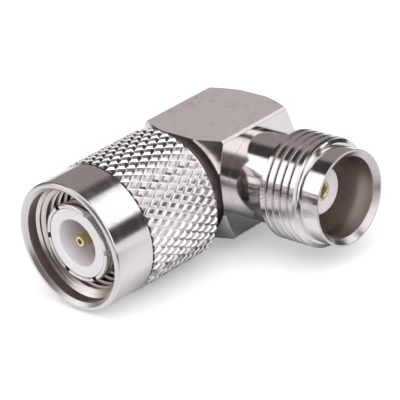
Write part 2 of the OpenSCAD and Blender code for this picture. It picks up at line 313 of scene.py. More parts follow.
# Painted shade: the bored, tapped and behind-the-nut materials take those darker colours.
bored_plug_shaded = turned_nickel("nickel bored on the plug axis", PLUG_AXIS, BORED_AND_SHADED, 0.42)
bored_jack_shaded = turned_nickel("nickel bored on the jack axis", JACK_AXIS, BORED_AND_SHADED, 0.38)
recess_plug_shaded = turned_nickel("dull nickel behind the nut", PLUG_AXIS, RECESS_SHADE, 0.4)
nickel_faced = turned_nickel("nickel faced on the plug axis", PLUG_AXIS, BRIGHT, 0.32)
lip_jack = turned_nickel("nickel faced on the jack axis", JACK_AXIS, LIP, 0.28)
tapped_plug_shaded = turned_nickel("nickel tapped on the plug axis", PLUG_AXIS, TAPPED_AND_SHADED, 0.3)
print("turned, bored, faced and tapped nickel")

# %% Satin and knurled nickel
SATIN, SATIN_SMUDGED = (0.84, 0.79, 0.775), (0.76, 0.71, 0.70)
STAIN, PIT = (0.58, 0.49, 0.44), (0.30, 0.26, 0.24)
STAIN_STARTS, STAIN_FULL, STAIN_COVER = 0.6, 0.75, 0.5
PIT_DARKNESS, PIT_DEPTH, SCRATCH_CUT = 0.4, -3.0, -1.5
satin_nickel, wires, shader = start_material("satin nickel block", metallic=0.65)
wear = place_group(wires, handling, Smudges_per_mm=0.45, Pits_per_mm=2.4, Pit_cover=0.29)
plate = tint(wires, wear["Smudge"], SATIN, SATIN_SMUDGED)
stain = wires.ramp(wear["Smudge"], STAIN_STARTS, STAIN_FULL, 0.0, STAIN_COVER)
stained = tint(wires, stain, plate, STAIN)
pitted = tint(wires, wires.times(wear["Pit"], PIT_DARKNESS), stained, PIT)
dents = wires.math("MULTIPLY_ADD", wear["Pit"], PIT_DEPTH, wear["Grain"])
height = wires.math("MULTIPLY_ADD", wear["Scratch"], SCRATCH_CUT, dents)
coat(wires, shader, pitted, spread(wires, wear["Grain"], 0.36, 0.46), height, 0.006)

# Painted highlight and shade: the grooves are painted lighter than bright nickel and the lands darker.
GROOVE_HIGHLIGHT, LAND_SHADE = (0.88, 0.85, 0.855), (0.66, 0.625, 0.63)
LAND_STARTS, LAND_FULL, LAND_ROUGHNESS = 6.80, 6.83, 0.14
knurled_nickel, wires, shader = start_material("knurled nickel", metallic=1.0)
marks = place_group(wires, turning_marks, Centre=elbow, Axis=PLUG_AXIS, Rings_per_mm=TOOL_RINGS)
wear = place_group(wires, handling)
lands = wires.ramp(marks["Radius in mm"], LAND_STARTS, LAND_FULL)
polish = spread(wires, wear["Grain"], 0.08, 0.16)
rough = wires.math("MULTIPLY_ADD", lands, LAND_ROUGHNESS, polish)
coat(wires, shader, tint(wires, lands, GROOVE_HIGHLIGHT, LAND_SHADE), rough, wear["Grain"], 0.003)
print("satin and knurled nickel")

# %% [markdown]
# ## Insulator, gold, rubber and bronze
# The insulators are white fluoropolymer: slightly waxy, with a soft sheen
# and light that sinks in a little. The contacts are gold over nickel, warm
# and not quite even. The socket's gold is painted lighter as painted light
# and the pin's browner as painted shade. The rim of the pin's tip takes the
# socket's lighter gold as a painted highlight, round a dimple painted dark as
# painted shade. The gasket is silicone rubber, and the hidden split ring is
# spring bronze.

# %% Other materials
FLUOROPOLYMER, FLUOROPOLYMER_SMUDGED = (0.96, 0.935, 0.97), (0.91, 0.88, 0.93)


def make_waxy(wires, shader, colour):
    """Gives a shader the look of turned fluoropolymer."""
    marks = place_group(wires, turning_marks, Centre=elbow, Axis=PLUG_AXIS, Rings_per_mm=5.0)
    coat(wires, shader, colour, spread(wires, marks["Bands"], 0.36, 0.5), marks["Rings"], 0.002)
    shader.inputs["Subsurface Weight"].default_value = 0.25
    shader.inputs["Subsurface Radius"].default_value = (1.0, 0.95, 0.95)
    shader.inputs["Subsurface Scale"].default_value = 0.4 * MM


white_insulator, wires, shader = start_material("white insulator")
wear = place_group(wires, handling, Smudges_per_mm=0.6)
make_waxy(wires, shader, tint(wires, wear["Smudge"], FLUOROPOLYMER, FLUOROPOLYMER_SMUDGED))


def grained(name, colours, smudges, roughness, grain_depth_mm, metallic=0.0):
    """A finish that smudges tint and a fine grain roughens."""
    material, wires, shader = start_material(name, metallic)
    wear = place_group(wires, handling, Smudges_per_mm=smudges)
    rough = spread(wires, wear["Grain"], *roughness)
    coat(wires, shader, tint(wires, wear["Smudge"], *colours), rough, wear["Grain"], grain_depth_mm)
    return material


def gold_plate(name, clean, worn):
    return grained(name, (clean, worn), 1.2, (0.22, 0.38), 0.002, metallic=0.7)


# Painted light and shade: one gold plating in a lighter socket copy, a browner pin copy and a dark dimple
# copy.
pin_gold_shaded = gold_plate("gold pin", (0.62, 0.48, 0.22), (0.50, 0.37, 0.15))
socket_gold_lit = gold_plate("gold socket", (1.0, 0.86, 0.56), (0.93, 0.76, 0.46))
dimple_gold_shaded = gold_plate("gold dimple", (0.24, 0.17, 0.07), (0.18, 0.12, 0.05))
RUBBER = (0.20, 0.07, 0.04), (0.13, 0.045, 0.03)
BRONZE = (0.66, 0.43, 0.24), (0.5, 0.31, 0.17)
seal_rubber = grained("silicone seal", RUBBER, 0.8, (0.45, 0.65), 0.006)
bronze = grained("spring bronze", BRONZE, 0.9, (0.25, 0.4), 0.003, metallic=1.0)
print("materials", len(bpy.data.materials))

# %% [markdown]
# ## Turning a piece
# On the lathe, an outline is cut while the work spins. The helper below does
# the same: it takes an outline of radius, distance and corner rounding, puts
# a small arc on each corner and spins the result. Rounded corners matter
# more than anything for metal, because each one catches a thin line of
# light. A Screw modifier could spin it too, but code keeps every ring's
# points on known angles, so threads can be welded on later.

# %% Lathe helper
AROUND = 144
ARC_STEPS = 3
WELD_MM = 0.0004


def corner_arc(before, corner, after, size):
    """Points of a small arc that replaces a corner."""
    to_before = (before - corner).normalized()
    to_after = (after - corner).normalized()
    half = to_before.angle(to_after) / 2
    reach = size / math.tan(half)
    centre = corner + (to_before + to_after).normalized() * (size / math.sin(half))
    first = corner + to_before * reach - centre
    last = corner + to_after * reach - centre
    steps = [i / ARC_STEPS for i in range(ARC_STEPS + 1)]
    return [centre + first.lerp(last, step).normalized() * size for step in steps]


def outline_points(outline):
    points = []
    for i, (r, distance, size) in enumerate(outline):
        corner = Vector((r, distance))
        if size:
            before = Vector(outline[i - 1][:2])
            after = Vector(outline[(i + 1) % len(outline)][:2])
            points += corner_arc(before, corner, after, size)
        else:
            points.append(corner)
    return points


def turned(outline, closed=True):
    """A bmesh spun about Z from an outline of (radius, distance, rounding)."""
    work = bmesh.new()
    angles = [2 * math.pi * i / AROUND for i in range(AROUND)]
    rings = []
    for r, distance in outline_points(outline):
        if r < WELD_MM:
            rings.append([work.verts.new((0, 0, distance))] * AROUND)
        else:
            rings.append([work.verts.new((r * math.cos(a), r * math.sin(a), distance)) for a in angles])
    following = rings[1:] + rings[:1] if closed else rings[1:]
    for lower, upper in zip(rings, following):
        for i in range(AROUND):
            j = (i + 1) % AROUND
            corners = list(dict.fromkeys((lower[i], lower[j], upper[j], upper[i])))
            if len(corners) > 2:
                work.faces.new(corners)
    return work


print("lathe with", AROUND, "points round")

# %% [markdown]
# ## Finishing a piece
# Each piece ends the same way. Doubles are merged, faces are turned
# outwards, and the mesh is shaded smooth with sharp edges left sharp. A
# Weighted Normal modifier keeps the large faces flat next to their small
# roundings. It runs while the mesh is still in millimetres, because in
# metres the faces are too small for it to tell apart. Then the mesh is laid
# on its axis, the piece is hung on the empty of the body it rides on, and the
# solids it stands for are hidden.

# %% Finish helper
SHARP_ANGLE = math.radians(38)
FACING = 0.3  # how far a face has to turn towards a direction to count as facing it


def as_mesh(work, name):
    bmesh.ops.remove_doubles(work, verts=work.verts, dist=WELD_MM)
    bmesh.ops.recalc_face_normals(work, faces=work.faces)
    mesh = bpy.data.meshes.new(name)
    work.to_mesh(mesh)
    work.free()
    return mesh


def mark_bores(mesh, material_index, facing):
    """Gives the faces that look towards the axis a material of their own."""
    count = 0
    for face in mesh.polygons:
        spoke = Vector((face.center.x, face.center.y, 0)).normalized()
        if face.normal.dot(spoke) < -facing:
            face.material_index = material_index
            count += 1
    print("bored faces", count)
    return mesh


def evaluated(holder):
    """The holder's mesh with its modifiers applied. The holder goes."""
    bpy.context.scene.collection.objects.link(holder)
    graph = bpy.context.evaluated_depsgraph_get()
    mesh = bpy.data.meshes.new_from_object(holder.evaluated_get(graph))
    bpy.data.objects.remove(holder)
    return mesh


def finish_piece(name, mesh, placing, materials, body, slot, *nodes):
    """Shades a mesh in millimetres, lays it on its axis and hands it over as a piece."""
    for material in materials[len(mesh.materials):]:
        mesh.materials.append(material)
    mesh.shade_smooth()
    mesh.set_sharp_from_angle(angle=SHARP_ANGLE)
    holder = bpy.data.objects.new(name + " shading", mesh)
    even = holder.modifiers.new("even shading", "WEIGHTED_NORMAL")
    even.keep_sharp = True
    even.thresh = 0.0
    shaded = evaluated(holder)
    shaded.transform(placing)
    piece = bpy.data.objects.new(name, shaded)
    bpy.context.scene.collection.objects.link(piece)
    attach(piece, body)
    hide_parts(*nodes)
    print(name, len(piece.data.polygons), "faces")


print("finish helper ready")

# %% [markdown]
# ## The elbow block
# The block is square bar with a fine bevel on its long edges. Both ends are
# turned to shallow cones, which is why the flats end in curves, and the
# barrel that the nut turns on is part of the same bar. A boolean of bar and
# cone would do, but it leaves ragged edges. Here each column of points runs
# along the bar at one angle, so that the curve where flat and cone meet is
# exact, and a Bevel modifier then breaks every edge.

# %% Block outline
BLOCK_HALF = half_height("elbow_body")
BLOCK_END = -plug_span("elbow_body")[0]
BARREL_FRONT = plug_span("elbow_body")[1]
EDGE_BEVEL = 0.25
END_RADIUS = 5.6
CONE_RISE = math.tan(math.radians(30))
BARREL_R = 5.0
LINE_R = 3.63
FLAT_COLUMNS = 22

inner = BLOCK_HALF - EDGE_BEVEL
flat_angle = math.atan2(inner, BLOCK_HALF)
cone_angle = math.acos(BLOCK_HALF / END_RADIUS)
flat_steps = [inner / BLOCK_HALF * (2 * i / FLAT_COLUMNS - 1) for i in range(FLAT_COLUMNS + 1)]
flat_angles = sorted([math.atan(step) for step in flat_steps] + [-cone_angle, cone_angle])
columns = [angle + side * quarter_turn for side in range(4) for angle in flat_angles]


def bar_radius(angle):
    """Distance from the axis to the bevelled bar's surface."""
    turn = abs((angle + quarter_turn / 2) % quarter_turn - quarter_turn / 2)
    if turn <= flat_angle + 1e-6:
        return BLOCK_HALF / math.cos(turn)
    return (BLOCK_HALF + inner) / (math.cos(turn) + math.sin(turn))


print("block", round(2 * BLOCK_HALF, 2), "mm square,", len(columns), "columns")

# %% Block mesh
RING_GROOVE = (7.67, 8.53, 4.37)
FERRULE_SEAT = (3.98, 8.97)
CAVITY_BACK = -2.4
BARREL_EDGE = 0.15


def block_rows(angle):
    """(radius, distance) points of one column, from the back face to the cavity."""
    bar = bar_radius(angle)
    end = min(END_RADIUS, bar)
    cone_end = BLOCK_END - (bar - end) * CONE_RISE
    groove_back, groove_front, groove_r = RING_GROOVE
    seat_r, seat_back = FERRULE_SEAT
    return [
        (end, -BLOCK_END), (bar, -cone_end), (bar, cone_end), (end, BLOCK_END), (BARREL_R, BLOCK_END),
        (BARREL_R, groove_back), (groove_r, groove_back), (groove_r, groove_front), (BARREL_R, groove_front),
        (BARREL_R, BARREL_FRONT - BARREL_EDGE), (BARREL_R - BARREL_EDGE, BARREL_FRONT),
        (seat_r, BARREL_FRONT), (seat_r, seat_back), (LINE_R, seat_back), (LINE_R, CAVITY_BACK),
    ]


work = bmesh.new()
lines = []
for angle in columns:
    across = Vector((math.cos(angle), math.sin(angle), 0))
    lines.append([work.verts.new(across * r + Vector((0, 0, d))) for r, d in block_rows(angle)])
for line, following in zip(lines, lines[1:] + lines[:1]):
    for i in range(len(line) - 1):
        work.faces.new((line[i], following[i], following[i + 1], line[i + 1]))
work.faces.new([line[0] for line in lines])
work.faces.new([line[-1] for line in lines])
print("block rows", len(lines[0]))

# %% Break the block's edges
EDGE_BREAK, BREAK_ANGLE, SQUARE_ON = 0.08, 24, 0.95
TURNED_ENDS, JACK_FLAT, BARREL_END = 1, 2, 3
bmesh.ops.remove_doubles(work, verts=work.verts, dist=WELD_MM)
bmesh.ops.dissolve_degenerate(work, edges=work.edges, dist=WELD_MM)
holder = bpy.data.objects.new("block edges", as_mesh(work, "block edges"))
break_edges = holder.modifiers.new("broken edges", "BEVEL")
break_edges.width = EDGE_BREAK
break_edges.segments = 2
break_edges.limit_method = "ANGLE"
break_edges.angle_limit = math.radians(BREAK_ANGLE)
block_mesh = evaluated(holder)
for face in block_mesh.polygons:
    if face.center.z > BLOCK_END - EDGE_BREAK:
        face.material_index = BARREL_END
    elif abs(face.normal.z) > FACING:
        face.material_index = TURNED_ENDS
    elif face.normal.x > SQUARE_ON:
        face.material_index = JACK_FLAT
finish_piece(
    "elbow_block", block_mesh, PLUG, [satin_nickel, nickel_plug, nickel_jack, recess_plug_shaded], "adapter",
    "nickel_block", "elbow_body",
)

# %% [markdown]
# ## Threads
# The jack's thread and the thread inside the nut have one pitch. A thread
# is a rule: the groove's place along the axis moves on by one pitch for each
# turn. So one Geometry Nodes tree bends a flat grid into a threaded skin.
# Each row of the grid follows the helix, which keeps crests and roots sharp,
# and rows that pass either end are squeezed flat and merged away. Sweeping
# a profile along a spiral is quicker, but leaves loose ends inside the metal.

# %% Thread tree
def end_tree(wires, given, made, geometry):
    """The end of every tree: instances made real, then the material."""
    plain = wires.node("GeometryNodeRealizeInstances", {"Geometry": geometry})
    sockets = {"Geometry": plain.outputs[0], "Material": given["Material"]}
    wires.feed(made["Geometry"], wires.node("GeometryNodeSetMaterial", sockets).outputs[0])


thread_skin, wires, given, made = new_tree(
    "threaded skin",
    "GeometryNodeTree",
    ["Start", "End", "Pitch", "Crest radius", "Root radius", "Start radius", "End radius", "Start slope",
     "End slope", "Outward", "Phase", "Root share", "Flank share", ("Around", INT), ("Rows per turn", INT),
     ("Rows", INT), "Weld", ("Material", MATERIAL)],
    [("Geometry", GEOMETRY)],
)
points_round = wires.plus(given["Around"], 1.0)
grid_sizes = {"Size X": 1.0, "Size Y": 1.0, "Vertices X": points_round, "Vertices Y": given["Rows"]}
grid = wires.node("GeometryNodeMeshGrid", grid_sizes)
flat = wires.split(wires.node("GeometryNodeInputPosition").outputs[0])
turn_share = wires.plus(flat["X"], 0.5)
last_row = wires.minus(given["Rows"], 1.0)
row = wires.math("ROUND", wires.times(wires.plus(flat["Y"], 0.5), last_row))
turns = wires.over(row, given["Rows per turn"])
climb = wires.minus(wires.plus(turns, turn_share), 1.0)
rise = wires.math("MULTIPLY_ADD", climb, given["Pitch"], given["Start"])
height = wires.math("MINIMUM", wires.math("MAXIMUM", rise, given["Start"]), given["End"])
cycle = wires.math("FRACT", wires.plus(turns, given["Phase"]))
groove = wires.math("ABSOLUTE", wires.minus(cycle, 0.5))
flank_end = wires.plus(given["Root share"], given["Flank share"])
profile = wires.ramp(groove, given["Root share"], flank_end, given["Root radius"], given["Crest radius"])
from_start = wires.times(wires.minus(height, given["Start"]), given["Start slope"])
from_end = wires.times(wires.minus(given["End"], height), given["End slope"])
start_limit = wires.math("MULTIPLY_ADD", given["Start radius"], given["Outward"], from_start)
end_limit = wires.math("MULTIPLY_ADD", given["End radius"], given["Outward"], from_end)
signed = wires.times(profile, given["Outward"])
reach = wires.math("MINIMUM", signed, wires.math("MINIMUM", start_limit, end_limit))
radius = wires.times(reach, given["Outward"])
angle = wires.times(turn_share, 2 * math.pi)
bent = wires.combine(
    wires.times(radius, wires.math("COSINE", angle)),
    wires.times(radius, wires.math("SINE", angle)),
    height,
)
skin = wires.node("GeometryNodeSetPosition", {"Geometry": grid.outputs["Mesh"], "Position": bent})
welded = wires.node("GeometryNodeMergeByDistance", {"Geometry": skin.outputs[0], "Distance": given["Weld"]})
end_tree(wires, given, made, welded.outputs[0])
print("thread tree with", len(thread_skin.nodes), "nodes")

# %% Run a tree
def grown(tree, values, mesh=None):
    """The plain mesh that a Geometry Nodes tree makes from these inputs."""
    holder = bpy.data.objects.new(tree.name, mesh or bpy.data.meshes.new(tree.name))
    growth = holder.modifiers.new(tree.name, "NODES")
    growth.node_group = tree
    for item in tree.interface.items_tree:
        if item.in_out == "INPUT" and item.name in values:
            growth[item.identifier] = values[item.name]
    return evaluated(holder)


PITCH = 0.907
ROWS_PER_TURN = 20


def thread(start, end, **values):
    """A thread skin between two distances, as a mesh."""
    rows = math.ceil((end - start + PITCH) / PITCH * ROWS_PER_TURN) + 1
    sizes = {"Start": start, "End": end, "Pitch": PITCH, "Around": AROUND, "Rows": rows,
             "Rows per turn": ROWS_PER_TURN, "Weld": WELD_MM}
    sizes.update({label.replace("_", " "): value for label, value in values.items()})
    return grown(thread_skin, sizes)


def join(work, mesh, material_index=0):
    """Adds a mesh's faces to a bmesh."""
    first = len(work.faces)
    work.from_mesh(mesh)
    work.faces.ensure_lookup_table()
    for face in work.faces[first:]:
        face.material_index = material_index
    bpy.data.meshes.remove(mesh)


print("pitch", PITCH, "mm")

# %% [markdown]
# ## The jack shell
# The jack is turned from one bar: a spigot pressed into the block, a bright
# neck, the coupling thread, a smooth pilot and an open mouth with a bevelled
# lip. The lathe helper makes all but the thread, and stops at the two rings
# where the thread skin begins and ends, so the two weld into one shell.

# %% Jack shell
JACK_BACK, JACK_LIP = jack_span("jack_shell")
THREAD_R, THREAD_DEPTH = half_height("jack_shell"), 0.36
THREAD_START, THREAD_END = 9.85, 14.65
THREAD_LEAD, LEAD_R = 0.3, 5.0
FIRST_GROOVE, THREAD_CLOCK = 0.45, 220  # a share of the pitch, and degrees round the axis
NECK_R, PILOT_R, LIP_W, MOUTH_SLOPE = 4.6, 4.83, 0.2, 50
BORE_R, BORE_FLOOR = 4.07, 8.48
JACK_LINE_R, TRAP_R, TRAP_END = 3.2, 3.45, 4.93
SPIGOT_R = 4.3
mouth_r = PILOT_R - LIP_W
mouth_depth = (mouth_r - BORE_R) / math.tan(math.radians(MOUTH_SLOPE))
shell = turned([
    (LEAD_R, THREAD_END, 0), (PILOT_R, THREAD_END, 0), (PILOT_R, JACK_LIP, 0.06), (mouth_r, JACK_LIP, 0.05),
    (BORE_R, JACK_LIP - mouth_depth, 0.06), (BORE_R, BORE_FLOOR, 0.1), (JACK_LINE_R, BORE_FLOOR, 0.05),
    (JACK_LINE_R, TRAP_END, 0), (TRAP_R, TRAP_END, 0), (TRAP_R, JACK_BACK, 0), (SPIGOT_R, JACK_BACK, 0.1),
    (SPIGOT_R, BLOCK_HALF, 0), (NECK_R, BLOCK_HALF, 0.04), (NECK_R, THREAD_START, 0),
    (LEAD_R, THREAD_START, 0),
], closed=False)
lead_slope = (THREAD_R - LEAD_R) / THREAD_LEAD
join(shell, thread(
    THREAD_START, THREAD_END, Crest_radius=THREAD_R, Root_radius=THREAD_R - THREAD_DEPTH,
    Start_radius=LEAD_R, Start_slope=lead_slope, End_radius=LEAD_R, End_slope=lead_slope, Outward=1.0,
    Phase=(FIRST_GROOVE + THREAD_CLOCK / 360) % 1, Root_share=0.045, Flank_share=0.13, Material=nickel_jack,
))
JACK_BORE, JACK_FRONT, ON_PILOT = 1, 2, THREAD_END + 0.5
jack_mesh = mark_bores(as_mesh(shell, "jack_body"), JACK_BORE, facing=0.9)
for face in jack_mesh.polygons:
    if face.normal.z > FACING and face.center.z > ON_PILOT:
        face.material_index = JACK_FRONT
finish_piece(
    "jack_body", jack_mesh, JACK, [nickel_jack, bored_jack_shaded, lip_jack], "adapter",
    "nickel_turned", "jack_shell",
)

# %% [markdown]
# ## The knurl
# The nut's grip is a diamond knurl: two sets of V grooves that cross and
# leave rows of small flat-topped pyramids. They could be a bump map, but the
# grip shows in the outline and catches light on four sides, so it is real
# geometry. One tooth is modelled with nine faces, and half a tooth for the
# band's ends. Geometry Nodes repeats them round the band. The teeth share
# their edges exactly, so merging by distance welds them into one skin.

# %% One tooth
KNURL_R = half_height("coupling_nut")
KNURL_COUNT, KNURL_ROWS = 42, 5
KNURL_START, KNURL_LENGTH = 8.06, 8.78
UNDER_KNURL_R = 6.3
# Each contour of the tooth: its share of the diamond and its radius
CONTOURS = [(1.0, KNURL_R - 0.24), (0.5, KNURL_R - 0.012), (0.24, KNURL_R)]
row_height = KNURL_LENGTH / KNURL_ROWS / 2


def on_band(column, row, r):
    angle = column * math.pi / KNURL_COUNT
    return Vector((r * math.cos(angle), r * math.sin(angle), row * row_height))


def tooth_object(name, corners, end_face):
    """A tooth with these (column, row) corners, closed by an end face if it is half a tooth."""
    work = bmesh.new()
    rings = [[work.verts.new(on_band(c * s, k * s, r)) for c, k in corners] for s, r in CONTOURS]
    sides = len(corners) - 1 if end_face else len(corners)
    for lower, upper in zip(rings, rings[1:]):
        for i in range(sides):
            j = (i + 1) % len(corners)
            work.faces.new((lower[i], lower[j], upper[j], upper[i]))
    work.faces.new(rings[-1])
    if end_face:
        left = work.verts.new(on_band(corners[0][0], 0, UNDER_KNURL_R))
        right = work.verts.new(on_band(corners[-1][0], 0, UNDER_KNURL_R))
        rising = [ring[0] for ring in rings]
        falling = [ring[-1] for ring in reversed(rings)]
        work.faces.new([left, *rising, *falling, right])
    mesh = bpy.data.meshes.new(name)
    work.to_mesh(mesh)
    work.free()
    return bpy.data.objects.new(name, mesh)


whole_tooth = tooth_object("whole tooth", [(-1, 0), (0, -1), (1, 0), (0, 1)], False)
end_tooth = tooth_object("end tooth", [(-1, 0), (0, 1), (1, 0)], True)
print("tooth faces", len(whole_tooth.data.polygons), "and", len(end_tooth.data.polygons))

# %% Knurl tree
knurl_band, wires, given, made = new_tree(
    "knurled band",
    "GeometryNodeTree",
    [("Whole tooth", OBJECT), ("End tooth", OBJECT), ("Count", INT), ("Diamonds", INT), "Length",
     "Inner radius", "Weld", ("Material", MATERIAL)],
    [("Geometry", GEOMETRY)],
)
half_rows = wires.times(given["Diamonds"], 2.0)
row_step = wires.over(given["Length"], half_rows)
column_step = wires.over(math.pi, given["Count"])
index = wires.node("GeometryNodeInputIndex").outputs[0]


def tooth_rows(first_row, row_count, tooth, flip):
    """Copies of a tooth on a number of rows, each row half a step round from the last."""
    along = wires.math("FLOOR", wires.over(wires.plus(index, 0.5), given["Count"]))
    row = wires.plus(along, first_row)
    number = wires.minus(index, wires.times(along, given["Count"]))
    odd = wires.math("FLOORED_MODULO", wires.plus(row, 1.0), 2.0)
    angle = wires.times(wires.math("MULTIPLY_ADD", number, 2.0, odd), column_step)
    spot = wires.combine(0.0, 0.0, wires.times(row, row_step))
    count = wires.times(given["Count"], row_count)
    points = wires.node("GeometryNodePoints", {"Count": count, "Position": spot})
    turn = wires.node("FunctionNodeEulerToRotation", {"Euler": wires.combine(flip, 0.0, angle)})
    shape = wires.node("GeometryNodeObjectInfo", {"Object": tooth}).outputs["Geometry"]
    sockets = {"Points": points.outputs[0], "Instance": shape, "Rotation": turn.outputs[0]}
    return wires.node("GeometryNodeInstanceOnPoints", sockets).outputs[0]


inner_wall = wires.node(
    "GeometryNodeMeshCylinder",
    {"Vertices": given["Count"], "Radius": given["Inner radius"], "Depth": given["Length"]},
    fill_type="NONE",
)
lift = wires.combine(0.0, 0.0, wires.over(given["Length"], 2.0))
raised_wall = wires.node("GeometryNodeTransform", {"Geometry": inner_wall.outputs[0], "Translation": lift})
band = wires.node("GeometryNodeJoinGeometry")
for part in (
    tooth_rows(1.0, wires.minus(half_rows, 1.0), given["Whole tooth"], 0.0),
    tooth_rows(0.0, 1.0, given["End tooth"], 0.0),
    tooth_rows(half_rows, 1.0, given["End tooth"], math.pi),
    raised_wall.outputs[0],
):
    wires.feed(band.inputs[0], part)
plain = wires.node("GeometryNodeRealizeInstances", {"Geometry": band.outputs[0]})
welded = wires.node("GeometryNodeMergeByDistance", {"Geometry": plain.outputs[0], "Distance": given["Weld"]})
end_tree(wires, given, made, welded.outputs[0])
KNURL_WELD = 0.002
knurl = grown(knurl_band, {
    "Whole tooth": whole_tooth, "End tooth": end_tooth, "Count": KNURL_COUNT, "Diamonds": KNURL_ROWS,
    "Length": KNURL_LENGTH, "Inner radius": UNDER_KNURL_R, "Weld": KNURL_WELD, "Material": knurled_nickel,
})
knurl.transform(Matrix.Translation((0, 0, KNURL_START)))
print("knurl", len(knurl.polygons), "faces")

# %% [markdown]
# ## The coupling nut
# The nut is a turned sleeve: a web at the back with a groove for the split
# ring, a thread inside, a plain counterbore at the mouth and a bright collar
# in front of the knurl. Its inside thread comes from the same tree as the
# jack's, turned inwards.

# %% Coupling nut
NUT_BACK, NUT_FRONT = plug_span("coupling_nut")
CORE_R, COLLAR_R, COLLAR_BACK, REAR_CHAMFER = 6.4, 6.7, 16.96, 0.6
MOUTH_R, MOUTH_CHAMFER, NUT_THREAD_R, RELIEF_R = 5.85, 0.36, 5.6, 5.7
NUT_THREAD_BACK, NUT_THREAD_FRONT, NUT_THREAD_DEPTH = 14.45, 20.0, 0.42
WEB_FRONT, WEB_R = 9.9, 5.05
NUT_GROOVE_BACK, NUT_GROOVE_FRONT, NUT_GROOVE_R = 7.6, 8.6, 5.48
mouth_edge = NUT_THREAD_FRONT + MOUTH_R - NUT_THREAD_R
nut_work = turned([
    (NUT_THREAD_R, NUT_THREAD_FRONT, 0), (MOUTH_R, mouth_edge, 0), (MOUTH_R, NUT_FRONT - MOUTH_CHAMFER, 0.06),
    (MOUTH_R + MOUTH_CHAMFER, NUT_FRONT, 0.06), (COLLAR_R, NUT_FRONT, 0.3), (COLLAR_R, COLLAR_BACK, 0.04),
    (CORE_R, COLLAR_BACK, 0), (CORE_R, NUT_BACK + REAR_CHAMFER, 0.08),
    (CORE_R - REAR_CHAMFER, NUT_BACK, 0.08), (WEB_R, NUT_BACK, 0.08),
    (WEB_R, NUT_GROOVE_BACK, 0), (NUT_GROOVE_R, NUT_GROOVE_BACK, 0),
    (NUT_GROOVE_R, NUT_GROOVE_FRONT, 0), (WEB_R, NUT_GROOVE_FRONT, 0), (WEB_R, WEB_FRONT, 0.08),
    (RELIEF_R, WEB_FRONT, 0), (RELIEF_R, NUT_THREAD_BACK, 0), (NUT_THREAD_R, NUT_THREAD_BACK, 0),
], closed=False)
join(nut_work, thread(
    NUT_THREAD_BACK, NUT_THREAD_FRONT, Crest_radius=NUT_THREAD_R - NUT_THREAD_DEPTH, Root_radius=NUT_THREAD_R,
    Start_radius=NUT_THREAD_R, Start_slope=1.0, End_radius=NUT_THREAD_R, End_slope=1.0, Outward=-1.0,
    Phase=0.0, Root_share=0.1, Flank_share=0.25, Material=bored_plug_shaded,
))
GRIP, NUT_BORE, NUT_FACE, NUT_THREAD = 1, 2, 3, 4
join(nut_work, knurl, GRIP)
nut_mesh = mark_bores(as_mesh(nut_work, "coupling_nut_turned"), NUT_BORE, FACING)
for face in nut_mesh.polygons:
    if face.material_index == NUT_BORE and face.center.z < NUT_THREAD_FRONT:
        face.material_index = NUT_THREAD
    if face.normal.z > FACING and face.center.z > NUT_THREAD_FRONT:
        face.material_index = NUT_FACE
nut_finishes = [nickel_plug, knurled_nickel, bored_plug_shaded, nickel_faced, tapped_plug_shaded]
finish_piece("coupling_nut_turned", nut_mesh, PLUG, nut_finishes, "nut", "nickel_turned", "coupling_nut")

# %% [markdown]
# ## Slotted sleeves
# The ferrule and the socket contact are thin sleeves sawn into spring
# fingers. The saw cuts repeat round the axis, so a small tree copies a
# cutter and takes it away from the turned sleeve with a Mesh Boolean.

# %% Slot tree
saw_slots, wires, given, made = new_tree(
    "sawn slots",
    "GeometryNodeTree",
    [("Sleeve", GEOMETRY), ("Count", INT), "Width", "Length", "Front",
     "Reach", ("Material", MATERIAL)],
    [("Geometry", GEOMETRY)],
)
OVERCUT = 1.0
cut_length = wires.plus(given["Length"], OVERCUT)
blade_size = wires.combine(given["Reach"], given["Width"], cut_length)
blade = wires.node("GeometryNodeMeshCube", {"Size": blade_size})
blade_middle = wires.combine(
    wires.over(given["Reach"], 2.0),
    0.0,
    wires.minus(wires.plus(given["Front"], OVERCUT), wires.over(cut_length, 2.0)),
)
set_blade = wires.node("GeometryNodeTransform", {"Geometry": blade.outputs[0], "Translation": blade_middle})
index = wires.node("GeometryNodeInputIndex").outputs[0]
step = wires.over(2 * math.pi, given["Count"])
cut_turn = wires.node(
    "FunctionNodeEulerToRotation", {"Euler": wires.combine(0.0, 0.0, wires.times(index, step))}
)
spots = wires.node("GeometryNodePoints", {"Count": given["Count"]})
sockets = {"Points": spots.outputs[0], "Instance": set_blade.outputs[0], "Rotation": cut_turn.outputs[0]}
blades = wires.node("GeometryNodeInstanceOnPoints", sockets)
plain = wires.node("GeometryNodeRealizeInstances", {"Geometry": blades.outputs[0]})
cut = wires.node("GeometryNodeMeshBoolean", operation="DIFFERENCE", solver="EXACT")
wires.feed(cut.inputs["Mesh 1"], given["Sleeve"])
wires.feed(cut.inputs["Mesh 2"], plain.outputs[0])
end_tree(wires, given, made, cut.outputs[0])
print("slot tree with", len(saw_slots.nodes), "nodes")

# %% [markdown]
# ## The ferrule
# This is the plug's outer contact. It is seated in the barrel, ends in a
# slightly raised, rounded bead and is sawn into six fingers that spring
# against the inside of a mating jack.

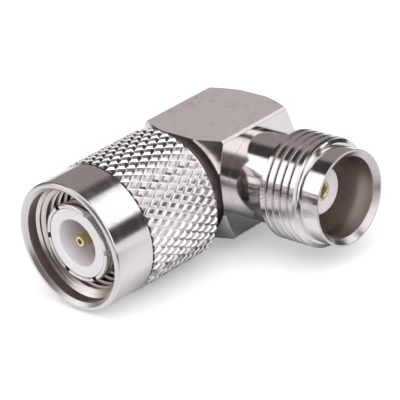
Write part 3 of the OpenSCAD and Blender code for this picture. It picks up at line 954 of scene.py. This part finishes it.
# %% Ferrule
FERRULE_BACK, FERRULE_FRONT = plug_span("plug_ferrule")
FERRULE_R, BEAD_R = 3.95, half_height("plug_ferrule")
BEAD_STARTS, BEAD_FULL = FERRULE_FRONT - 1.2, FERRULE_FRONT - 0.72
sleeve = turned([
    (LINE_R, FERRULE_BACK, 0), (FERRULE_R, FERRULE_BACK, 0.05), (FERRULE_R, BEAD_STARTS, 0.1),
    (BEAD_R, BEAD_FULL, 0.15), (BEAD_R, FERRULE_FRONT, 0.2), (LINE_R, FERRULE_FRONT, 0.12),
])
slotted = grown(saw_slots, {
    "Count": 6, "Width": 0.55, "Length": 6.6, "Front": FERRULE_FRONT, "Reach": 6.0, "Material": nickel_plug,
}, as_mesh(sleeve, "sleeve"))
finish_piece("slotted_ferrule", slotted, PLUG, [nickel_plug], "adapter", "nickel_turned", "plug_ferrule")

# %% [markdown]
# ## Insulators, pin, seal and socket
# The white insulators hold the contacts on the axis. They are soft and
# cleanly cut, so their edges are only slightly rounded. Little light gets
# deep into the plug's bore, so its wall darkens inwards. The pin has a
# tapered tip with a small turning dimple, and the jack's socket is drilled
# and sawn crosswise.

# %% Plug insulator
INSULATOR_BACK, PLUG_FACE = plug_span("plug_insulator")
INSULATOR_R = half_height("plug_insulator")
PLUG_BORE_R, PLUG_BORE_FLOOR, SHANK_HOLE_R = 2.45, 15.1, 1.08
work = turned([
    (SHANK_HOLE_R, INSULATOR_BACK, 0), (INSULATOR_R, INSULATOR_BACK, 0.1), (INSULATOR_R, PLUG_FACE, 0.08),
    (PLUG_BORE_R, PLUG_FACE, 0.12), (PLUG_BORE_R, PLUG_BORE_FLOOR, 0.1), (SHANK_HOLE_R, PLUG_BORE_FLOOR, 0),
])
PLUG_BORE, SHADED, SHADE_DEPTH = 1, (0.70, 0.64, 0.64), 2.4 * MM
insulator_mesh = mark_bores(as_mesh(work, "plug_insulator"), PLUG_BORE, facing=0.5)
bored_insulator, wires, shader = start_material("bored insulator")
place = wires.node("ShaderNodeTexCoord").outputs["Object"]
bore_mouth = elbow.y - PLUG_FACE * MM
deep = wires.ramp(wires.split(place)["Y"], bore_mouth, bore_mouth + SHADE_DEPTH)
make_waxy(wires, shader, tint(wires, deep, FLUOROPOLYMER, SHADED))
finish_piece(
    "plug_insulator_turned", insulator_mesh, PLUG, [white_insulator, bored_insulator], "adapter",
    "white_insulator", "plug_insulator",
)

# %% Plug pin
PIN_BACK, PIN_TIP = plug_span("plug_pin")
PIN_R, SHANK_R, TIP_R, TIP_LENGTH = 0.675, half_height("plug_pin"), 0.5, 1.4
DIMPLE_R, DIMPLE_RIM, TIP_ROUNDING, TIP_BAND = 0.3, 0.02, 0.08, 0.09
dimple_floor = PIN_TIP - 2 * DIMPLE_R
work = turned([
    (0, PIN_BACK, 0), (SHANK_R, PIN_BACK, 0.05), (SHANK_R, PLUG_BORE_FLOOR, 0.05),
    (PIN_R, PLUG_BORE_FLOOR, 0.05), (PIN_R, PIN_TIP - TIP_LENGTH, 0.15), (TIP_R, PIN_TIP, TIP_ROUNDING),
    (DIMPLE_R, PIN_TIP, 0.03), (0, dimple_floor, 0),
])
# Painted highlight on the rim of the tip and painted shade in the dimple.
PIN_RIM_HIGHLIGHT, PIN_DIMPLE_SHADE = 1, 2
pin_mesh = as_mesh(work, "plug_pin")
for face in pin_mesh.polygons:
    if face.center.z > PIN_TIP - TIP_BAND:
        face.material_index = PIN_RIM_HIGHLIGHT
    if face.center.xy.length < DIMPLE_R - DIMPLE_RIM and face.center.z > dimple_floor:
        face.material_index = PIN_DIMPLE_SHADE
finish_piece(
    "plug_pin_turned", pin_mesh, PLUG, [pin_gold_shaded, socket_gold_lit, dimple_gold_shaded], "adapter",
    "gold_contact", "plug_pin",
)

# %% Seal
SEAL_BACK, SEAL_FRONT = plug_span("plug_gasket")
SEAL_R = half_height("plug_gasket")
work = turned([
    (FERRULE_SEAT[0], SEAL_BACK, 0.2), (SEAL_R, SEAL_BACK, 0.25), (SEAL_R, SEAL_FRONT, 0.25),
    (FERRULE_SEAT[0], SEAL_FRONT, 0.2),
])
finish_piece(
    "rubber_seal", as_mesh(work, "rubber_seal"), PLUG, [seal_rubber], "adapter", "seal_rubber", "plug_gasket"
)

# %% Jack insulator and socket
BOSS_BACK, STUB_FACE = jack_span("jack_insulator")
STUB_R, BOSS_R, SOCKET_HOLE = 2.39, 2.1, 1.03
COLLAR_SEAT_R, COLLAR_SEAT_END, LINE_FIT_R = 3.42, 4.9, 3.17
work = turned([
    (SOCKET_HOLE, BOSS_BACK, 0), (BOSS_R, BOSS_BACK, 0), (BOSS_R, JACK_BACK, 0),
    (COLLAR_SEAT_R, JACK_BACK, 0), (COLLAR_SEAT_R, COLLAR_SEAT_END, 0),
    (LINE_FIT_R, COLLAR_SEAT_END, 0), (LINE_FIT_R, BORE_FLOOR, 0),
    (STUB_R, BORE_FLOOR, 0), (STUB_R, STUB_FACE, 0.1), (SOCKET_HOLE, STUB_FACE, 0.04),
])
finish_piece(
    "jack_insulator_turned", as_mesh(work, "jack_insulator"), JACK, [white_insulator], "adapter",
    "white_insulator", "jack_insulator",
)

TAIL_END, SOCKET_FRONT = jack_span("jack_socket")
SOCKET_R, SOCKET_BORE_R, SOCKET_FLARE, TAIL_R = half_height("jack_socket"), 0.695, 0.1, 0.43
SOCKET_DEPTH = 4.6
SOCKET_FLOOR = SOCKET_FRONT - SOCKET_DEPTH
work = turned([
    (0, TAIL_END, 0), (TAIL_R, TAIL_END, 0.04), (TAIL_R, BOSS_BACK, 0), (SOCKET_R, BOSS_BACK, 0.04),
    (SOCKET_R, SOCKET_FRONT, 0.06), (SOCKET_BORE_R + SOCKET_FLARE, SOCKET_FRONT, 0.02),
    (SOCKET_BORE_R, SOCKET_FRONT - SOCKET_FLARE, 0.03), (SOCKET_BORE_R, SOCKET_FLOOR, 0),
    (0, SOCKET_FLOOR, 0),
])
slotted = grown(saw_slots, {
    "Count": 4, "Width": 0.2, "Length": 3.2, "Front": SOCKET_FRONT, "Reach": 2.0, "Material": socket_gold_lit,
}, as_mesh(work, "socket"))
finish_piece("jack_socket_slotted", slotted, JACK, [socket_gold_lit], "adapter", "gold_contact", "jack_socket")

# %% [markdown]
# ## The split ring
# The ring that keeps the nut on the barrel sits deep in its groove. Its CAD
# shape is right as it is, so it only gets its bronze finish.

# %% Ring finish
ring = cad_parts["nut_retaining_ring"]
ring.data.materials.clear()
ring.data.materials.append(bronze)
print("ring finish", bronze.name)

# %% [markdown]
# ## Floor
# The floor is a plain pale sheet. Its own light only tops it up to white for
# what the camera sees directly or in the metal, so it lights nothing, and the
# soft shadow under the object stays. That light is lower where the floor sees
# less sky, which paints the shadow darker. In the metal the floor is painted
# dark close to the object as painted shadow, and in a patch before it as a
# painted reflection of a photographer standing there. The Ambient Occlusion
# node says how much of the sky each spot of the floor still sees.

# %% Floor sheet
FLOOR_HALF, FLOOR_DROP = 3.0, 0.02 * MM
work = bmesh.new()
bmesh.ops.create_grid(work, x_segments=1, y_segments=1, size=FLOOR_HALF)
floor_mesh = bpy.data.meshes.new("floor")
work.to_mesh(floor_mesh)
work.free()
floor_mesh.transform(Matrix.Translation((0, 0, -FLOOR_DROP)))
floor = bpy.data.objects.new("floor", floor_mesh)
bpy.context.scene.collection.objects.link(floor)
print("floor", 2 * FLOOR_HALF, "m wide")

# %% Floor as the camera sees it
PAPER, FLOOR_LIGHT = (0.68, 0.67, 0.68), (1.0, 0.99, 1.0, 1.0)
SHADE_REACH, SHADED_LIFT, OPEN_LIFT = 6 * MM, 0.3, 0.6
floor_paper, wires, shader = start_material("pale floor paper")
floor_mesh.materials.append(floor_paper)
shader.inputs["Roughness"].default_value = 1.0
shader.inputs["Specular IOR Level"].default_value = 0.0
shader.inputs["Emission Color"].default_value = FLOOR_LIGHT
light_path = wires.node("ShaderNodeLightPath").outputs
open_sky = wires.node("ShaderNodeAmbientOcclusion", {"Distance": SHADE_REACH}).outputs["AO"]
# Painted shadow: the floor's lift is lower where it sees less sky.
lift = wires.ramp(open_sky, 0.0, 1.0, SHADED_LIFT, OPEN_LIFT)
in_view = wires.times(light_path["Is Camera Ray"], lift)
mirrored = wires.math("MAXIMUM", light_path["Is Glossy Ray"], light_path["Is Transmission Ray"])
wires.feed(shader.inputs["Base Color"], tint(wires, mirrored, PAPER, (0.0, 0.0, 0.0)))
print("floor lifted by", OPEN_LIFT)

# %% Floor as the metal shows it
# Painted reflection: a dark patch on the floor before the object, seen only in the metal.
FORWARD, SIDEWAYS = (0.72, -0.69, 0.0), (0.69, 0.72, 0.0)
PATCH_STARTS, PATCH_FULL, PATCH_DARKNESS = 7 * MM, 28 * MM, 0.92
PATCH_MIDDLE, PATCH_INNER, PATCH_OUTER = 12 * MM, 8 * MM, 22 * MM
place = wires.node("ShaderNodeTexCoord").outputs["Object"]
ahead = wires.vector("DOT_PRODUCT", place, FORWARD, output="Value")
across = wires.vector("DOT_PRODUCT", place, SIDEWAYS, output="Value")
aside = wires.math("ABSOLUTE", wires.minus(across, PATCH_MIDDLE))
far_enough = wires.ramp(ahead, PATCH_STARTS, PATCH_FULL, 0.0, PATCH_DARKNESS, smooth=True)
painted_reflection_patch = wires.times(far_enough, wires.ramp(aside, PATCH_OUTER, PATCH_INNER, smooth=True))

# The share of open sky at which the floor's painted shadow turns dark: none below the collar
COLLAR_Y, KNURL_Y, DARK_BY_COLLAR, DARK_BY_KNURL = -10 * MM, -5 * MM, -0.35, 0.27
OPEN_SHARE, DARKEST, MIRRORED_LIFT = 0.78, 0.08, 0.95
dark_share = wires.ramp(wires.split(place)["Y"], COLLAR_Y, KNURL_Y, DARK_BY_COLLAR, DARK_BY_KNURL)
painted_shadow = wires.ramp(open_sky, dark_share, OPEN_SHARE, DARKEST, 1.0)
shade = wires.times(painted_shadow, wires.minus(1.0, painted_reflection_patch))
glow = wires.times(shade, MIRRORED_LIFT)
wires.feed(shader.inputs["Emission Strength"], wires.math("MULTIPLY_ADD", mirrored, glow, in_view))
print("floor nodes", len(floor_paper.node_tree.nodes))

# %% [markdown]
# ## Studio light
# Matt surfaces are lit by a soft dome that is brighter above and in front, so
# that colours render about as they are written. Polished metal needs more: it
# shows whatever stands round it. So glossy rays see a studio instead, with
# bright softboxes in front and on both sides, a pale panel overhead, three
# weak reflectors and dim, slightly warm gaps in between. Each softbox is one
# copy of a small group.

# %% Softbox group
softbox, wires, given, made = new_tree(
    "softbox",
    "ShaderNodeTree",
    ["Azimuth", "Elevation", "Box azimuth", "Half width", "Box elevation", "Half height", "Edge",
     "Brightness"],
    ["Light"],
)
aside = wires.math("WRAP", wires.minus(given["Azimuth"], given["Box azimuth"]), 180.0, -180.0)
above = wires.minus(given["Elevation"], given["Box elevation"])


def within(distance, half):
    size = wires.math("ABSOLUTE", distance)
    outer = wires.plus(half, given["Edge"])
    return wires.ramp(size, outer, half, smooth=True)


cover = wires.times(within(aside, given["Half width"]), within(above, given["Half height"]))
wires.feed(made["Light"], wires.times(cover, given["Brightness"]))
print("group", softbox.name)

# %% World
world = bpy.data.worlds.new("studio")
world.use_nodes = True
bpy.context.scene.world = world
world.cycles.sampling_method = "NONE"
wires = Wiring(world.node_tree)
background = world.node_tree.nodes["Background"]
toward = wires.split(wires.node("ShaderNodeTexCoord").outputs["Generated"])
azimuth = wires.math("DEGREES", wires.math("ARCTAN2", toward["Y"], toward["X"]))
elevation = wires.math("DEGREES", wires.math("ARCSINE", toward["Z"]))
# In degrees, with azimuths counted from the jack's direction
BOX_INPUTS = ("Box_azimuth", "Half_width", "Box_elevation", "Half_height", "Edge", "Brightness")
SOFTBOXES = [
    (60, 22, 38, 14, 4, 1.4),
    (226, 26, 32, 14, 2.5, 1.4),
    (137, 17, 30, 25, 15, 0.26),
    (0, 180, 90, 26, 8, 1.0),
    (-44, 50, 40, 18, 8, 0.12),
    (-3, 23, 22, 33, 6, 1.25),
    (230, 22, 5, 12, 3, 0.4),
]
GAP_LIGHT = 0.05
studio = GAP_LIGHT
for box in SOFTBOXES:
    measures = dict(zip(BOX_INPUTS, box))
    light = place_group(wires, softbox, Azimuth=azimuth, Elevation=elevation, **measures)["Light"]
    studio = wires.plus(light, studio)
HORIZON_LIGHT, OVERHEAD_RISE, FRONT_FILL = 0.23, 0.50, 1.35
FRONT = (0.78, -0.567, 0.259)
facing = wires.vector("DOT_PRODUCT", wires.combine(*toward), FRONT, output="Value")
dome = wires.math("MULTIPLY_ADD", toward["Z"], OVERHEAD_RISE, HORIZON_LIGHT)
dome = wires.math("MULTIPLY_ADD", wires.math("MAXIMUM", facing, 0.0), FRONT_FILL, dome)
light_path = wires.node("ShaderNodeLightPath").outputs
first_hand = wires.math("LESS_THAN", light_path["Diffuse Depth"], 0.5)
glossy = wires.times(light_path["Is Glossy Ray"], first_hand)
seen_by_object = wires.mix("FLOAT", glossy, dome, studio)
strength = wires.mix("FLOAT", light_path["Is Camera Ray"], seen_by_object, 1.0)
wires.feed(background.inputs["Strength"], strength)
# The dim corners of the studio are a little warmer than its lights
LAMP_WHITE, DIM_WARM, LIT, DIM = (1.0, 0.985, 0.985), (1.0, 0.86, 0.85), 0.8, 0.1
dimness = wires.times(glossy, wires.ramp(studio, LIT, DIM))
wires.feed(background.inputs["Color"], tint(wires, dimness, LAMP_WHITE, DIM_WARM))
print("softboxes", len(SOFTBOXES))

# %% [markdown]
# ## Camera
# The photograph was taken from the corner between plug and jack, from a
# little above, with a long lens and the object leaning slightly. The camera
# is set back from the elbow along that direction and rolled by the lean.

# %% Camera
VIEW_AZIMUTH, VIEW_ELEVATION, VIEW_ROLL = 46.26, 25.55, 7.45
VIEW_DISTANCE, VIEW_LEFT, VIEW_BELOW = 232.445, 2.142, 3.849
LENS, SENSOR = 207.6, 36.0
a, e = math.radians(VIEW_AZIMUTH), math.radians(VIEW_ELEVATION)
back = Vector((math.sin(a) * math.cos(e), -math.cos(a) * math.cos(e), math.sin(e)))
level = Vector((math.cos(a), math.sin(a), 0))
upright = back.cross(level)
roll = math.radians(VIEW_ROLL)
right = level * math.cos(roll) - upright * math.sin(roll)
up = back.cross(right)
spot = elbow + (back * VIEW_DISTANCE - right * VIEW_LEFT - up * VIEW_BELOW) * MM
camera_data = bpy.data.cameras.new("camera")
camera_data.lens = LENS
camera_data.sensor_width = SENSOR
camera_data.clip_start = 1 * MM
camera = bpy.data.objects.new("camera", camera_data)
bpy.context.scene.collection.objects.link(camera)
camera.matrix_world = Matrix.Translation(spot) @ Matrix((right, up, back)).transposed().to_4x4()
bpy.context.scene.camera = camera
bpy.context.scene.view_settings.view_transform = "Standard"
print("camera at", [round(c, 4) for c in spot])
